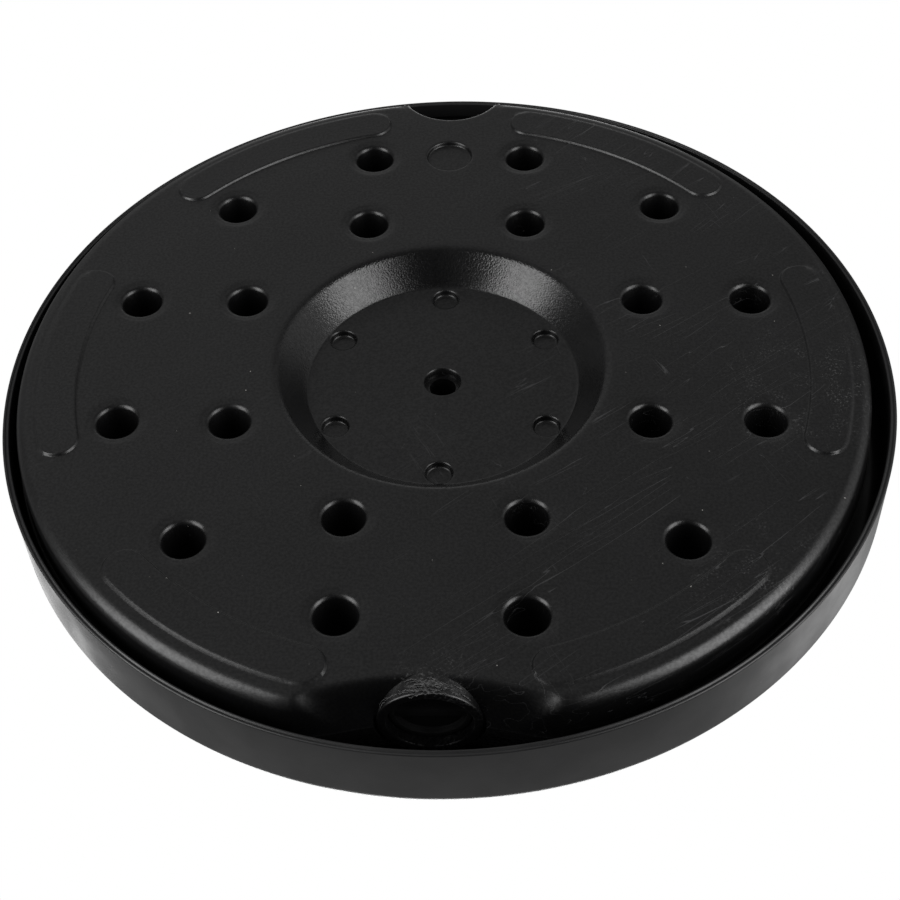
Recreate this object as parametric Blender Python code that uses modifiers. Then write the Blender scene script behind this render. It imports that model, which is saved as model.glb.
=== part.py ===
"""Ballasted round umbrella stand: a moulded tank under a steel cover, with a bolted pole tube.

Metres, +Z up, in the position of use. The origin is under the cover's centre, on the plane that
the six moulded pads stand on. Everything but the cover hangs on an empty at the tank's own axis.
"""

import math

import bmesh
import bpy
from mathutils import Matrix

MM = 0.001

# Driving dimensions: cover.
COVER_RADIUS = 226.7 * MM
COVER_SHEET = 1.5 * MM
COVER_LIP_HEIGHT = 10.5 * MM
COVER_LIP_DEPTH = 3.4 * MM
COVER_LIP_RISE = 5 * MM
COVER_CORNER = 8 * MM
COVER_CORNER_TOP = 53 * MM
DECK_HEIGHT = 62 * MM
DECK_RADIUS = 80 * MM

# Tank. Its axis sits a little to one side of the cover's.
TANK_SHIFT = 2.5 * MM
TANK_RADIUS = 217.7 * MM
TANK_WALL = 3 * MM
UNDERSIDE = 1.2 * MM
PARTING_HEIGHT = 24.5 * MM
TANK_LOWER_ROUND = 7.5 * MM
TANK_UPPER_ROUND = 7 * MM
RECESS_TOP_RADIUS = 86 * MM
RECESS_FLOOR_RADIUS = 71 * MM
RECESS_DEPTH = 15 * MM
RECESS_FLOOR = UNDERSIDE + RECESS_DEPTH
COUNTERBORE_RADIUS = 9.3 * MM
COUNTERBORE_DEPTH = 5 * MM
DRAIN_RADIUS = 6.8 * MM

# Moulded pits, where the two walls of the tank are pinched together.
PIT_DEPTH = 30 * MM
PIT_MOUTH = 10.5 * MM
PIT_END = 7 * MM
PIT_RINGS = (
    {"radius": 166.2 * MM, "count": 12, "first_deg": 15},
    {"radius": 112.7 * MM, "count": 8, "first_deg": 22.5},
)

# Six raised pads that the stand rests on.
PAD_COUNT = 6
PAD_INNER = 185.7 * MM
PAD_OUTER = 206.3 * MM
PAD_HALF_ANGLE = math.radians(16.6)
PAD_SHORT_ANGLE = math.radians(13.6)
PAD_SHIFT = 1 * MM

# Fill neck in the hollowed front, and the finger notch at the back.
NECK_RADIUS = 22.8 * MM
NECK_BORE = 19.3 * MM
NECK_MOUTH = 202 * MM
NECK_INNER_END = 172 * MM
FRONT_ARC = 160 * MM
FRONT_LOW = 192.5 * MM
FRONT_MID = 201.3 * MM
FRONT_HIGH = 196 * MM
NOTCH_RADIUS = 29.2 * MM
NOTCH_DEEPEST = 197.6 * MM
MARK_RADIUS = 13.8 * MM
MARK_AT = 163 * MM
MARK_DEPTH = 1.5 * MM

# Bolted foot of the pole tube.
SCREW_COUNT = 6
SCREW_CIRCLE = 61 * MM
SCREW_FIRST_DEG = 30
SCREW_RADIUS = 3 * MM
SCREW_REACH = 16 * MM
SCREW_HEAD_RADIUS = 5.8 * MM
SCREW_HEAD_HEIGHT = 4 * MM
WASHER_RADIUS = 6.4 * MM
WASHER_THICKNESS = 1.4 * MM
INSERT_RADIUS = 5.5 * MM
INSERT_LENGTH = 18 * MM
BOSS_RADIUS = 10 * MM
BOSS_MARK_RADIUS = 7.5 * MM
BOSS_MARK_DEPTH = 2 * MM
COVER_HOLE = 7.2 * MM
FLANGE_RADIUS = 75 * MM
FLANGE_THICKNESS = 4 * MM
FLANGE_BORE = 10 * MM

# Pole tube, its adapter sleeve and the clamp.
TUBE_RADIUS = 25 * MM
TUBE_WALL = 1.8 * MM
TUBE_TOP = 345 * MM
WELD_LEG = 4 * MM
ADAPTER_RADIUS = 22.8 * MM
ADAPTER_BORE = 19.6 * MM
ADAPTER_LENGTH = 90 * MM
ADAPTER_RIM_RADIUS = 27 * MM
ADAPTER_RIM_HEIGHT = 5 * MM
CLAMP_HEIGHT = 300 * MM
STUD_RADIUS = 5 * MM
STUD_START = 26.2 * MM
STUD_END = 62 * MM
NUT_RADIUS = 10 * MM
NUT_END = 38 * MM
TIP_RADIUS = 4.8 * MM
TIP_START = 22.9 * MM
TIP_THICKNESS = 3 * MM
SPIGOT_RADIUS = 2 * MM
SPIGOT_LENGTH = 4 * MM
KNOB_START = 46.5 * MM
KNOB_HUB_RADIUS = 11 * MM
KNOB_HUB_LENGTH = 6 * MM
KNOB_RADIUS = 26 * MM
KNOB_THICKNESS = 18 * MM
KNOB_LOBES = 5

# Fill plug and its sealing ring.
PLUG_RADIUS = 18.9 * MM
PLUG_FACE = 197 * MM
PLUG_LENGTH = 18 * MM
PLUG_RIM = 3 * MM
PLUG_DISH = 3 * MM
GROOVE_AT = 6 * MM
GROOVE_WIDTH = 3.6 * MM
GROOVE_RADIUS = 15.6 * MM
RING_MINOR = 1.3 * MM

GAP = 0.3 * MM
MERGE = 0.00001
WIDE_SIDES = 64
PLATE_SIDES = 48
TUBE_SIDES = 32
RING_SIDES = 24
SMALL_SIDES = 12
PIT_SIDES = 12
INNER_SIDES = 8

FLANGE_BASE = DECK_HEIGHT + GAP
FLANGE_TOP = FLANGE_BASE + FLANGE_THICKNESS
TANK_TOP = DECK_HEIGHT - COVER_SHEET - GAP


def new_collection(name):
    collection = bpy.data.collections.new(name)
    bpy.context.scene.collection.children.link(collection)
    return collection


def finish(name, colour, roughness, metallic=0.0):
    material = bpy.data.materials.new(name)
    material.use_nodes = True
    shader = material.node_tree.nodes["Principled BSDF"]
    shader.inputs["Base Color"].default_value = (*colour, 1.0)
    shader.inputs["Roughness"].default_value = roughness
    shader.inputs["Metallic"].default_value = metallic
    return material


def place(name, mesh, parent, material=None):
    """Link a mesh as a part, or as a hidden cutter when it has no material."""
    item = bpy.data.objects.new(name, mesh)
    item.parent = parent
    if material is None:
        CUTTERS.objects.link(item)
        item.hide_render = True
        item.display_type = "WIRE"
        return item
    STAND.objects.link(item)
    mesh.materials.append(material)
    return item


def turned(name, profile, parent, material=None, sides=WIDE_SIDES, closed=True):
    """Turn (radius, height) points about local Z, its outer side running from top to bottom."""
    mesh = bpy.data.meshes.new(name)
    count = len(profile)
    edges = [(i, (i + 1) % count) for i in range(count if closed else count - 1)]
    mesh.from_pydata([(radius, 0, height) for radius, height in profile], edges, [])
    item = place(name, mesh, parent, material)
    screw = item.modifiers.new("Turn", "SCREW")
    screw.steps = sides
    screw.render_steps = sides
    screw.use_merge_vertices = True
    screw.merge_threshold = MERGE
    screw.use_smooth_shade = False
    return item


def solid_turned(name, profile, parent, material=None, sides=SMALL_SIDES):
    """The same for a profile whose two ends lie on the axis."""
    return turned(name, profile, parent, material, sides, closed=False)


def cones(name, places, parent, material=None, sides=PIT_SIDES):
    """Upright cones or cylinders in one mesh: (x, y, low z, high z, low radius, high radius)."""
    mesh = bpy.data.meshes.new(name)
    form = bmesh.new()
    for x, y, low, high, low_radius, high_radius in places:
        bmesh.ops.create_cone(
            form,
            cap_ends=True,
            segments=sides,
            radius1=low_radius,
            radius2=high_radius,
            depth=high - low,
            matrix=Matrix.Translation((x, y, (low + high) / 2)),
        )
    form.to_mesh(mesh)
    form.free()
    return place(name, mesh, parent, material)


def slab(name, outlines, low, high, parent, material=None):
    """Flat outlines in local XY, given a thickness from low to high along local Z."""
    curve = bpy.data.curves.new(name, "CURVE")
    curve.dimensions = "2D"
    curve.fill_mode = "BOTH"
    curve.extrude = (high - low) / 2
    for outline in outlines:
        spline = curve.splines.new("POLY")
        spline.points.add(len(outline) - 1)
        for point, (x, y) in zip(spline.points, outline):
            point.co = (x, y, 0, 1)
        spline.use_cyclic_u = True
    drawn = bpy.data.objects.new(name + "_outline", curve)
    CUTTERS.objects.link(drawn)
    graph = bpy.context.evaluated_depsgraph_get()
    mesh = bpy.data.meshes.new_from_object(drawn.evaluated_get(graph))
    bpy.data.objects.remove(drawn)
    form = bmesh.new()
    form.from_mesh(mesh)
    bmesh.ops.remove_doubles(form, verts=form.verts, dist=MERGE)
    bmesh.ops.translate(form, verts=form.verts, vec=(0, 0, (low + high) / 2))
    bmesh.ops.recalc_face_normals(form, faces=form.faces)
    form.to_mesh(mesh)
    form.free()
    return place(name, mesh, parent, material)


def combine(item, other, operation="DIFFERENCE"):
    boolean = item.modifiers.new(operation.title(), "BOOLEAN")
    boolean.operation = operation
    boolean.solver = "EXACT"
    boolean.object = other


def outward(item, height):
    """Point local Z towards the front, with the local origin on the tube's axis at a height."""
    item.location = (0, 0, height)
    item.rotation_euler = (math.pi / 2, 0, 0)
    return item


def arc(centre, radius, start_deg, end_deg, steps):
    """Points of an arc as (across, up) pairs."""
    points = []
    for i in range(steps + 1):
        angle = math.radians(start_deg + (end_deg - start_deg) * i / steps)
        points.append((centre[0] + radius * math.cos(angle), centre[1] + radius * math.sin(angle)))
    return points


def around(radius, count, first_deg):
    angles = [math.radians(first_deg + 360 * i / count) for i in range(count)]
    return [(radius * math.cos(angle), radius * math.sin(angle)) for angle in angles]


def pits(grow, low):
    """The pits' cones from a low end upwards, grown by a wall or a clearance."""
    slope = (PIT_MOUTH - PIT_END) / PIT_DEPTH
    end = UNDERSIDE + PIT_DEPTH
    mouth = PIT_MOUTH + slope * (UNDERSIDE - low)
    return [
        (x, y, low, end + grow, mouth + grow, PIT_END + grow)
        for ring in PIT_RINGS
        for x, y in around(ring["radius"], ring["count"], ring["first_deg"])
    ]


def hollow_front(name, grow, parent):
    """The wide shallow scoop that sets the rim back round the neck, deepest on the centre line."""
    arc_low = FRONT_ARC + FRONT_MID - FRONT_LOW + grow
    arc_mid = FRONT_ARC + grow
    arc_high = FRONT_ARC + FRONT_MID - FRONT_HIGH + grow
    profile = [
        (0, DECK_HEIGHT),
        (arc_high, DECK_HEIGHT),
        (arc_mid, PARTING_HEIGHT),
        (arc_low, UNDERSIDE),
        (arc_low, -5 * MM),
        (0, -5 * MM),
    ]
    item = solid_turned(name, profile, parent, sides=WIDE_SIDES)
    item.location = (0, -FRONT_MID - FRONT_ARC, 0)
    return item


def notch(name, grow, parent):
    centre = NOTCH_DEEPEST + NOTCH_RADIUS
    radius = NOTCH_RADIUS + grow
    return cones(name, [(0, centre, -5 * MM, 70 * MM, radius, radius)], parent, sides=RING_SIDES)


def hollow(name, clearance, parent, material=None):
    """The tank's inside, or the ballast that fills it when a clearance is given."""
    wall = TANK_WALL + clearance
    low = UNDERSIDE + wall
    high = TANK_TOP - wall
    rim_high = COVER_CORNER_TOP - COVER_SHEET - GAP - wall
    floor = RECESS_FLOOR + wall
    side = TANK_RADIUS - wall
    profile = [
        (DRAIN_RADIUS + wall + 3 * MM, high),
        (DECK_RADIUS - 6 * MM, high),
        (TANK_RADIUS - TANK_LOWER_ROUND, rim_high),
        (side - 2 * MM, rim_high - 5 * MM),
        (side, PARTING_HEIGHT),
        (side - 2 * MM, low + 7 * MM),
        (TANK_RADIUS - TANK_LOWER_ROUND, low),
        (RECESS_TOP_RADIUS + wall + 2 * MM, low),
        (RECESS_FLOOR_RADIUS + wall + 1 * MM, floor),
        (DRAIN_RADIUS + wall + 3 * MM, floor),
    ]
    item = turned(name, profile, parent, material)
    below = UNDERSIDE - 2 * MM
    combine(item, cones(name + "_pits", pits(wall, below), parent, sides=INNER_SIDES))
    bosses = [
        (x, y, 0, DECK_HEIGHT, BOSS_RADIUS + clearance, BOSS_RADIUS + clearance)
        for x, y in around(SCREW_CIRCLE, SCREW_COUNT, SCREW_FIRST_DEG)
    ]
    combine(item, cones(name + "_bosses", bosses, parent, sides=INNER_SIDES))
    combine(item, hollow_front(name + "_front", wall, parent))
    combine(item, notch(name + "_notch", wall, parent))
    return item


def neck_cylinder(name, radius, start, end, parent):
    item = cones(name, [(0, 0, start, end, radius, radius)], parent, sides=RING_SIDES)
    return outward(item, PARTING_HEIGHT)


def pad_outline(number):
    """A band along the rim with two round ends; the front two stop short of the neck."""
    direction = 2 * math.pi * number / PAD_COUNT
    middle = (PAD_INNER + PAD_OUTER) / 2
    cap = (PAD_OUTER - PAD_INNER) / 2
    first = math.degrees(direction - (PAD_SHORT_ANGLE if number == 5 else PAD_HALF_ANGLE))
    last = math.degrees(direction + (PAD_SHORT_ANGLE if number == 4 else PAD_HALF_ANGLE))
    start = (middle * math.cos(math.radians(first)), middle * math.sin(math.radians(first)))
    end = (middle * math.cos(math.radians(last)), middle * math.sin(math.radians(last)))
    outer = arc((0, 0), PAD_OUTER, first, last, 8)
    inner = arc((0, 0), PAD_INNER, last, first, 8)
    far_cap = arc(end, cap, last, last + 180, 6)[1:-1]
    near_cap = arc(start, cap, first + 180, first + 360, 6)[1:-1]
    return [(x, y + PAD_SHIFT) for x, y in outer + far_cap + inner + near_cap]


def make_tank(parent, material):
    rim_top = COVER_CORNER_TOP - COVER_SHEET - GAP
    lower = (TANK_RADIUS - 1.2 * MM - TANK_LOWER_ROUND, UNDERSIDE + TANK_LOWER_ROUND)
    upper = (TANK_RADIUS - 2 * MM - TANK_UPPER_ROUND, rim_top - 1 * MM - TANK_UPPER_ROUND)
    profile = [(DRAIN_RADIUS, TANK_TOP), (DECK_RADIUS - 4 * MM, TANK_TOP)]
    profile += arc(upper, TANK_UPPER_ROUND, 85, 10, 3)
    profile += [(TANK_RADIUS, PARTING_HEIGHT)]
    profile += arc(lower, TANK_LOWER_ROUND, -5, -90, 4)
    profile += [(RECESS_TOP_RADIUS, UNDERSIDE)]
    profile += [(RECESS_TOP_RADIUS - 3 * MM, UNDERSIDE + 1 * MM)]
    profile += [(RECESS_FLOOR_RADIUS, RECESS_FLOOR), (COUNTERBORE_RADIUS, RECESS_FLOOR)]
    profile += [(COUNTERBORE_RADIUS, RECESS_FLOOR + COUNTERBORE_DEPTH)]
    profile += [(DRAIN_RADIUS, RECESS_FLOOR + COUNTERBORE_DEPTH)]
    tank = turned("ballast_tank", profile, parent, material)
    combine(tank, hollow("tank_hollow", 0, parent))
    combine(tank, cones("tank_pits", pits(0, UNDERSIDE - 2 * MM), parent))
    combine(tank, hollow_front("tank_front", 0, parent))
    combine(tank, notch("tank_notch", 0, parent))
    marks = [
        (x, y, RECESS_FLOOR - 5 * MM, RECESS_FLOOR + BOSS_MARK_DEPTH, BOSS_MARK_RADIUS, BOSS_MARK_RADIUS)
        for x, y in around(SCREW_CIRCLE, SCREW_COUNT, SCREW_FIRST_DEG)
    ]
    combine(tank, cones("boss_marks", marks, parent))
    mark = [(0, MARK_AT, -2 * MM, UNDERSIDE + MARK_DEPTH, MARK_RADIUS, MARK_RADIUS)]
    combine(tank, cones("round_mark", mark, parent, sides=RING_SIDES))
    pockets = [
        (x, y, TANK_TOP - INSERT_LENGTH - GAP, TANK_TOP + 5 * MM, INSERT_RADIUS + GAP, INSERT_RADIUS + GAP)
        for x, y in around(SCREW_CIRCLE, SCREW_COUNT, SCREW_FIRST_DEG)
    ]
    combine(tank, cones("insert_pockets", pockets, parent))
    outlines = [pad_outline(number) for number in range(PAD_COUNT)]
    combine(tank, slab("pad_bands", outlines, 0, 2.4 * MM, parent), "UNION")
    beyond = NECK_MOUTH + 3 * MM
    combine(tank, neck_cylinder("neck_outer", NECK_RADIUS, NECK_INNER_END, beyond, parent), "UNION")
    wide = NECK_RADIUS + 1.5 * MM
    combine(tank, neck_cylinder("neck_pocket", wide, NECK_MOUTH, TANK_RADIUS + 5 * MM, parent))
    inside = NECK_INNER_END - 8 * MM
    combine(tank, neck_cylinder("neck_bore", NECK_BORE, inside, TANK_RADIUS, parent))
    return tank


def make_ballast(parent, material):
    ballast = hollow("ballast_fill", GAP, parent, material)
    radius = NECK_RADIUS + GAP
    start = NECK_INNER_END - 6 * MM
    combine(ballast, neck_cylinder("ballast_neck", radius, start, TANK_RADIUS, parent))


def make_cover(material):
    corner = (COVER_RADIUS - COVER_CORNER, COVER_CORNER_TOP - COVER_CORNER)
    lip_inside = COVER_RADIUS - COVER_LIP_DEPTH
    sheet_inside = COVER_RADIUS - COVER_SHEET
    inner_corner = COVER_CORNER - COVER_SHEET
    profile = [(FLANGE_BORE + 3 * MM, DECK_HEIGHT), (DECK_RADIUS, DECK_HEIGHT)]
    profile += arc(corner, COVER_CORNER, 86, 0, 4)
    profile += [(COVER_RADIUS, COVER_LIP_HEIGHT), (lip_inside, COVER_LIP_HEIGHT)]
    profile += [(lip_inside, COVER_LIP_HEIGHT + COVER_LIP_RISE)]
    profile += [(sheet_inside, COVER_LIP_HEIGHT + COVER_LIP_RISE)]
    profile += arc(corner, inner_corner, 0, 86, 3)
    profile += [(DECK_RADIUS, DECK_HEIGHT - COVER_SHEET)]
    profile += [(FLANGE_BORE + 3 * MM, DECK_HEIGHT - COVER_SHEET)]
    cover = turned("cover_shell", profile, None, material)
    holes = [
        (x, y, DECK_HEIGHT - 9 * MM, DECK_HEIGHT + 9 * MM, COVER_HOLE, COVER_HOLE)
        for x, y in around(SCREW_CIRCLE, SCREW_COUNT, SCREW_FIRST_DEG)
    ]
    combine(cover, cones("cover_holes", holes, None, sides=SMALL_SIDES))


def make_foot(parent, steel, zinc, brass):
    """The flange plate under the tube, and the screws that hold it through the cover."""
    bevel = 0.8 * MM
    profile = [
        (FLANGE_BORE, FLANGE_TOP),
        (FLANGE_RADIUS - bevel, FLANGE_TOP),
        (FLANGE_RADIUS, FLANGE_TOP - bevel),
        (FLANGE_RADIUS, FLANGE_BASE),
        (FLANGE_BORE, FLANGE_BASE),
    ]
    flange = turned("tube_flange", profile, parent, steel, sides=PLATE_SIDES)
    places = around(SCREW_CIRCLE, SCREW_COUNT, SCREW_FIRST_DEG)
    hole = SCREW_RADIUS + 0.5 * MM
    holes = [(x, y, FLANGE_BASE - 5 * MM, FLANGE_TOP + 5 * MM, hole, hole) for x, y in places]
    combine(flange, cones("flange_holes", holes, parent))
    washer_base = FLANGE_TOP + GAP
    washer_top = washer_base + WASHER_THICKNESS
    head_base = washer_top + GAP
    for number, (x, y) in enumerate(places, 1):
        ring = [
            (hole, washer_top),
            (WASHER_RADIUS, washer_top),
            (WASHER_RADIUS, washer_base),
            (hole, washer_base),
        ]
        washer = turned(f"flange_washer_{number}", ring, parent, zinc, sides=SMALL_SIDES)
        washer.location = (x, y, 0)
        head = (x, y, head_base, head_base + SCREW_HEAD_HEIGHT, SCREW_HEAD_RADIUS, SCREW_HEAD_RADIUS)
        screw = cones(f"flange_screw_{number}", [head], parent, zinc, sides=6)
        reach = TANK_TOP - SCREW_REACH
        shank = (x, y, reach, head_base + 1 * MM, SCREW_RADIUS, SCREW_RADIUS)
        combine(screw, cones(f"shank_{number}", [shank], parent, sides=12), "UNION")
        low = TANK_TOP - INSERT_LENGTH
        sleeve = [
            (SCREW_RADIUS + GAP, TANK_TOP),
            (INSERT_RADIUS, TANK_TOP),
            (INSERT_RADIUS, low),
            (SCREW_RADIUS + GAP, low),
        ]
        insert = turned(f"threaded_insert_{number}", sleeve, parent, brass, sides=12)
        insert.location = (x, y, 0)


def make_tube(parent, steel, plastic):
    base = FLANGE_TOP + GAP
    inside = TUBE_RADIUS - TUBE_WALL
    profile = [
        (inside, TUBE_TOP),
        (TUBE_RADIUS, TUBE_TOP),
        (TUBE_RADIUS, base + WELD_LEG),
        (TUBE_RADIUS + WELD_LEG, base),
        (inside, base),
    ]
    tube = turned("pole_tube", profile, parent, steel, sides=TUBE_SIDES)
    hole = STUD_RADIUS + 0.5 * MM
    cutter = cones("tube_hole", [(0, 0, 0, NUT_END, hole, hole)], parent, sides=SMALL_SIDES)
    combine(tube, outward(cutter, CLAMP_HEIGHT))

    bore = STUD_RADIUS + GAP
    ring = [
        (bore, NUT_END),
        (NUT_RADIUS - 1 * MM, NUT_END),
        (NUT_RADIUS, NUT_END - 1 * MM),
        (NUT_RADIUS, TUBE_RADIUS - 5 * MM),
        (bore, TUBE_RADIUS - 5 * MM),
    ]
    nut = outward(turned("clamp_nut", ring, parent, steel, sides=RING_SIDES), CLAMP_HEIGHT)
    clear = TUBE_RADIUS + GAP
    body = [(0, 0, CLAMP_HEIGHT - 20 * MM, CLAMP_HEIGHT + 20 * MM, clear, clear)]
    combine(nut, cones("nut_saddle", body, parent, sides=TUBE_SIDES))

    rim_base = TUBE_TOP + GAP
    rim_top = TUBE_TOP + ADAPTER_RIM_HEIGHT
    profile = [
        (ADAPTER_BORE, rim_top - 1 * MM),
        (ADAPTER_BORE + 1 * MM, rim_top),
        (ADAPTER_RIM_RADIUS - 1 * MM, rim_top),
        (ADAPTER_RIM_RADIUS, rim_top - 1 * MM),
        (ADAPTER_RIM_RADIUS, rim_base),
        (ADAPTER_RADIUS, rim_base),
        (ADAPTER_RADIUS, TUBE_TOP - ADAPTER_LENGTH),
        (ADAPTER_BORE, TUBE_TOP - ADAPTER_LENGTH),
    ]
    adapter = turned("pole_adapter", profile, parent, plastic, sides=TUBE_SIDES)
    half = TIP_RADIUS + 1 * MM
    slot = [(-half, -70 * MM), (half, -70 * MM)]
    slot += arc((0, 0), half, 0, 180, 8)
    cutter = slab("adapter_slot", [slot], 5 * MM, 40 * MM, parent)
    combine(adapter, outward(cutter, CLAMP_HEIGHT))


def make_clamp(parent, steel, plastic, nylon):
    """Hand knob, its stud and the nylon tip that bears on the pole."""
    tip_end = TIP_START + TIP_THICKNESS
    profile = [
        (0, tip_end + SPIGOT_LENGTH),
        (SPIGOT_RADIUS, tip_end + SPIGOT_LENGTH),
        (SPIGOT_RADIUS, tip_end),
        (TIP_RADIUS, tip_end),
        (TIP_RADIUS, TIP_START + 0.8 * MM),
        (TIP_RADIUS - 0.8 * MM, TIP_START),
        (0, TIP_START),
    ]
    outward(solid_turned("clamp_tip", profile, parent, nylon), CLAMP_HEIGHT)

    socket = SPIGOT_RADIUS + GAP
    socket_end = tip_end + SPIGOT_LENGTH + GAP
    profile = [
        (0, STUD_END),
        (STUD_RADIUS, STUD_END),
        (STUD_RADIUS, STUD_START),
        (socket, STUD_START),
        (socket, socket_end),
        (0, socket_end),
    ]
    outward(solid_turned("clamp_stud", profile, parent, steel), CLAMP_HEIGHT)

    bore = STUD_RADIUS + GAP
    head_base = KNOB_START + KNOB_HUB_LENGTH
    head_top = head_base + KNOB_THICKNESS
    profile = [
        (0, head_top),
        (KNOB_RADIUS - 9 * MM, head_top),
        (KNOB_RADIUS - 3 * MM, head_top - 1.5 * MM),
        (KNOB_RADIUS, head_top - 5 * MM),
        (KNOB_RADIUS, head_base + 3 * MM),
        (KNOB_RADIUS - 3 * MM, head_base),
        (KNOB_HUB_RADIUS, head_base),
        (KNOB_HUB_RADIUS, KNOB_START),
        (bore, KNOB_START),
        (bore, STUD_END + GAP),
        (0, STUD_END + GAP),
    ]
    knob = solid_turned("clamp_knob", profile, parent, plastic, sides=30)
    scallop = 9 * MM
    reach = KNOB_RADIUS + 4.5 * MM
    grooves = [
        (x, y, head_base - 5 * MM, head_top + 5 * MM, scallop, scallop)
        for x, y in around(reach, KNOB_LOBES, 90 + 180 / KNOB_LOBES)
    ]
    grooves = cones("knob_grooves", grooves, knob, sides=SMALL_SIDES)
    combine(knob, grooves)
    outward(knob, CLAMP_HEIGHT)


def make_plug(parent, plastic, rubber):
    """Recessed screw plug of the fill neck, with a grip bar and a sealing ring in its groove."""
    face = PLUG_FACE
    groove_top = face - GROOVE_AT
    groove_low = groove_top - GROOVE_WIDTH
    profile = [
        (0, face - PLUG_DISH),
        (PLUG_RADIUS - PLUG_RIM, face - PLUG_DISH),
        (PLUG_RADIUS - PLUG_RIM, face),
        (PLUG_RADIUS - 0.6 * MM, face),
        (PLUG_RADIUS, face - 0.6 * MM),
        (PLUG_RADIUS, groove_top),
        (GROOVE_RADIUS, groove_top),
        (GROOVE_RADIUS, groove_low),
        (PLUG_RADIUS, groove_low),
        (PLUG_RADIUS, face - PLUG_LENGTH),
        (0, face - PLUG_LENGTH),
    ]
    plug = solid_turned("fill_plug", profile, parent, plastic, sides=RING_SIDES)
    half_width = 2 * MM
    half_length = PLUG_RADIUS - PLUG_RIM + 1 * MM
    bar = [
        (-half_length, -half_width),
        (half_length, -half_width),
        (half_length, half_width),
        (-half_length, half_width),
    ]
    grip = slab("plug_grip", [bar], face - PLUG_DISH - 1 * MM, face - 0.4 * MM, plug)
    combine(plug, grip, "UNION")
    outward(plug, PARTING_HEIGHT)

    middle = (groove_top + groove_low) / 2
    centre = (PLUG_RADIUS - 0.2 * MM - RING_MINOR, middle)
    section = arc(centre, RING_MINOR, 90, -210, 5)
    outward(turned("plug_seal_ring", section, parent, rubber, sides=RING_SIDES), PARTING_HEIGHT)


for old in list(bpy.data.objects):
    bpy.data.objects.remove(old)

STAND = new_collection("umbrella_stand")
CUTTERS = new_collection("cutters")

tank_axis = bpy.data.objects.new("tank_axis", None)
tank_axis.location = (TANK_SHIFT, 0, 0)
STAND.objects.link(tank_axis)

coated_steel = finish("coated_steel", (0.022, 0.022, 0.023), 0.45)
hdpe = finish("black_hdpe", (0.018, 0.018, 0.019), 0.4)
concrete = finish("concrete", (0.42, 0.41, 0.39), 0.9)
moulded = finish("black_moulding", (0.02, 0.02, 0.02), 0.5)
nylon_white = finish("white_nylon", (0.75, 0.74, 0.7), 0.5)
rubber_black = finish("seal_rubber", (0.015, 0.015, 0.015), 0.7)
zinc_plate = finish("zinc_plate", (0.55, 0.56, 0.58), 0.3, 1.0)
brass_insert = finish("brass", (0.72, 0.55, 0.25), 0.3, 1.0)

make_cover(coated_steel)
make_tank(tank_axis, hdpe)
make_ballast(tank_axis, concrete)
make_foot(tank_axis, coated_steel, zinc_plate, brass_insert)
make_tube(tank_axis, coated_steel, moulded)
make_clamp(tank_axis, zinc_plate, moulded, nylon_white)
make_plug(tank_axis, moulded, rubber_black)
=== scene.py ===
"""Looks of the round umbrella stand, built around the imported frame. Metres, +Z up, in the position of use.

The camera stands below the stand and looks up at the moulded underside of its tank, so the floor
is one-sided: it can be seen from above and not from below.
"""

import math

import bmesh
import bpy
import numpy as np
from mathutils import Matrix, Vector
from mathutils.geometry import delaunay_2d_cdt


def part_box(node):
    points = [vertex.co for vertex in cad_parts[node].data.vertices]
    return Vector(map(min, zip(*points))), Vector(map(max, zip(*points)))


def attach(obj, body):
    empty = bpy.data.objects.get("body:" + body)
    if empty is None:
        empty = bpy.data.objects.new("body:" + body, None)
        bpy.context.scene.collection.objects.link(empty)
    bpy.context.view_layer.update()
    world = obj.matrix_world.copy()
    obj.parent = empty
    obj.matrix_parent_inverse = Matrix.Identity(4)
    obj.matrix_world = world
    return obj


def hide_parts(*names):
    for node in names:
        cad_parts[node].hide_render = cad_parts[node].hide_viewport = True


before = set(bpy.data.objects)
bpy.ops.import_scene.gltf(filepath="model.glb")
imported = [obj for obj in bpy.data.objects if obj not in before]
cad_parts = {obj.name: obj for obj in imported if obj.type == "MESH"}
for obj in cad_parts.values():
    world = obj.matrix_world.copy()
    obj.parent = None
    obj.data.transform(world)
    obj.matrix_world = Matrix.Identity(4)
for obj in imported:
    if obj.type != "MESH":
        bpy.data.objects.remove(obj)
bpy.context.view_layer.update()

MM = 0.001
SEED = 7

# Places read from the frame, in metres.
TANK_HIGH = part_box("ballast_tank")[1]
COVER_LOW, COVER_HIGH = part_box("cover_shell")
FLANGE_LOW, FLANGE_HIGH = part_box("tube_flange")
TUBE_LOW, TUBE_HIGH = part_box("pole_tube")
SLEEVE_LOW, SLEEVE_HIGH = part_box("pole_adapter")
NUT_LOW, NUT_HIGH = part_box("clamp_nut")
KNOB_LOW, KNOB_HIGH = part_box("clamp_knob")
STUD_LOW, STUD_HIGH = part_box("clamp_stud")
TIP_LOW, TIP_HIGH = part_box("clamp_tip")
PLUG_LOW, PLUG_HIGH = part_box("fill_plug")
RING_LOW, RING_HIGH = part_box("plug_seal_ring")

AXIS_X = (TUBE_LOW.x + TUBE_HIGH.x) / 2
CLAMP_Z = (STUD_LOW.z + STUD_HIGH.z) / 2
NECK_Z = (PLUG_LOW.z + PLUG_HIGH.z) / 2

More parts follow.
